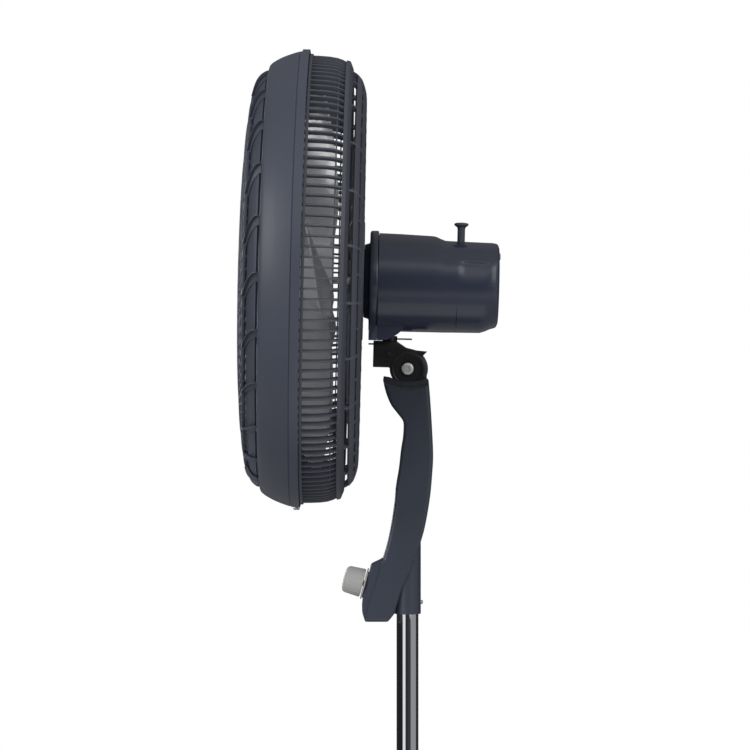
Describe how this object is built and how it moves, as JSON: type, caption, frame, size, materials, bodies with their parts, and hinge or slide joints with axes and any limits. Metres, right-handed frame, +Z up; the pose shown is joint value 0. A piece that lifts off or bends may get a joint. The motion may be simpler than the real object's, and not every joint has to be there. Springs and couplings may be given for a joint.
{
  "type": "pedestal fan",
  "caption": "Oscillating stand fan with a round caged head, tilting bracket, curved neck with speed dial, telescopic chrome pole and weighted round base.",
  "frame": {"origin": "on the floor under the pole's axis", "axes": "+Z up along the pole, -X the way the air leaves, Y across the head"},
  "size_m": [0.44, 0.5, 1.2998],
  "materials": {
    "slate_plastic": "satin slate grey moulded plastic",
    "dark_slate_plastic": "dark slate grille plastic, light sheen",
    "gloss_slate_plastic": "smooth glossy dark slate",
    "black_plastic": "matt black",
    "black_cast": "black painted casting, satin",
    "chrome": "polished chrome plate",
    "steel": "zinc plated steel",
    "dark_tube": "powder coated dark slate",
    "iron": "rough cast iron",
    "copper_winding": "varnished copper wire",
    "bronze": "oiled sintered bronze",
    "aluminium": "die cast",
    "warm_grey_plastic": "light warm grey",
    "blade_plastic": "light grey glossy blades",
    "rubber": "matt black rubber",
    "white_acetal": "natural acetal"
  },
  "bodies": {
    "stand": {"base_cover": "slate_plastic", "base_weight": "iron", "base_screw": "steel", "rubber_foot_1": "rubber", "rubber_foot_2": "rubber", "rubber_foot_3": "rubber", "rubber_foot_4": "rubber", "lower_tube": "dark_tube", "pole_socket": "slate_plastic", "height_collar": "slate_plastic"},
    "height_clamp": {"height_clamp_knob": "black_plastic"},
    "neck": {"upper_tube": "chrome", "neck_shell_left": "slate_plastic", "neck_shell_right": "slate_plastic", "neck_screw": "steel", "tube_set_screw": "steel", "cord_inlet": "rubber", "capacitor": "black_plastic", "tilt_bolt": "steel", "tilt_washer": "steel", "tilt_nut": "steel", "control_fascia": "dark_slate_plastic", "dial_plate": "warm_grey_plastic", "speed_switch": "black_plastic"},
    "speed_dial": {"switch_shaft": "steel", "speed_knob": "warm_grey_plastic"},
    "bracket": {"tilt_bracket": "black_cast", "swivel_lock_screw": "steel", "link_post": "steel"},
    "head": {"swivel_pin": "steel", "motor_housing": "gloss_slate_plastic", "housing_screw": "steel", "motor_front_cover": "dark_slate_plastic", "front_end_bell": "aluminium", "rear_end_bell": "aluminium", "front_bush": "bronze", "rear_bush": "bronze", "stator_core": "steel", "stator_winding": "copper_winding", "motor_bolt_1": "steel", "motor_bolt_2": "steel", "gearbox_case": "aluminium", "gearbox_cover": "aluminium", "rear_grille": "dark_slate_plastic", "rear_grille_nut": "dark_slate_plastic", "bezel_ring": "slate_plastic", "grille_lock_screw": "steel", "front_grille": "slate_plastic", "grille_badge": "steel"},
    "fan_rotor": {"motor_shaft": "steel", "rotor": "aluminium", "impeller": "blade_plastic", "impeller_nut": "dark_slate_plastic"},
    "worm_gear": {"worm_wheel": "white_acetal"},
    "spindle": {"clutch_spindle": "steel"},
    "knob": {"oscillation_knob": "dark_slate_plastic"},
    "crank": {"crank_gear": "white_acetal"},
    "link": {"oscillation_link": "steel"}
  },
  "joints": [
    {"name": "height_slide", "type": "slide", "parent": "stand", "child": "neck", "axis": [0, 0, 1], "range_m": [-0.15, 0.15]},
    {"name": "height_clamp_turn", "type": "hinge", "parent": "stand", "child": "height_clamp", "pos_m": [0.03, 0, 0.5], "axis": [1, 0, 0], "range_deg": [0, 270]},
    {"name": "speed_select", "type": "hinge", "parent": "neck", "child": "speed_dial", "pos_m": [-0.0457, 0, 0.7145], "axis": [-0.9664, 0, 0.2571], "range_deg": [0, 135]},
    {"name": "head_tilt", "type": "hinge", "parent": "neck", "child": "bracket", "pos_m": [0, 0, 0.95], "axis": [0, 1, 0], "range_deg": [-15, 45]},
    {"name": "head_swivel", "type": "hinge", "parent": "bracket", "child": "head", "pos_m": [-0.01929, 0, 0.98046], "axis": [0.0236, 0, 0.9997], "range_deg": [-35, 35]},
    {"name": "rotor_spin", "type": "hinge", "parent": "head", "child": "fan_rotor", "pos_m": [0.00224, 0, 1.04497], "axis": [0.9997, 0, -0.0236], "continuous": true},
    {"name": "worm_wheel_spin", "type": "hinge", "parent": "head", "child": "worm_gear", "pos_m": [0.05722, -0.0124, 1.04368], "axis": [0.0236, 0, 0.9997], "continuous": true},
    {"name": "spindle_spin", "type": "hinge", "parent": "head", "child": "spindle", "pos_m": [0.05722, -0.0124, 1.04368], "axis": [0.0236, 0, 0.9997], "range_deg": [-302, 302]},
    {"name": "clutch_pull", "type": "slide", "parent": "spindle", "child": "knob", "axis": [0.0236, 0, 0.9997], "range_m": [0, 0.008]},
    {"name": "crank_turn", "type": "hinge", "parent": "head", "child": "crank", "pos_m": [0.06823, 0, 1.00141], "axis": [0.0236, 0, 0.9997], "range_deg": [-91, 91]},
    {"name": "link_turn", "type": "hinge", "parent": "crank", "child": "link", "pos_m": [0.06809, 0.00918, 0.99541], "axis": [0.0236, 0, 0.9997], "range_deg": [-91, 91]}
  ],
  "couplings": [
    {"joint": "worm_wheel_spin", "follows": "rotor_spin", "ratio": 0.071429},
    {"joint": "crank_turn", "follows": "head_swivel", "ratio": -2.5714},
    {"joint": "link_turn", "follows": "head_swivel", "ratio": 2.5714},
    {"joint": "spindle_spin", "follows": "head_swivel", "ratio": 8.5714}
  ]
}
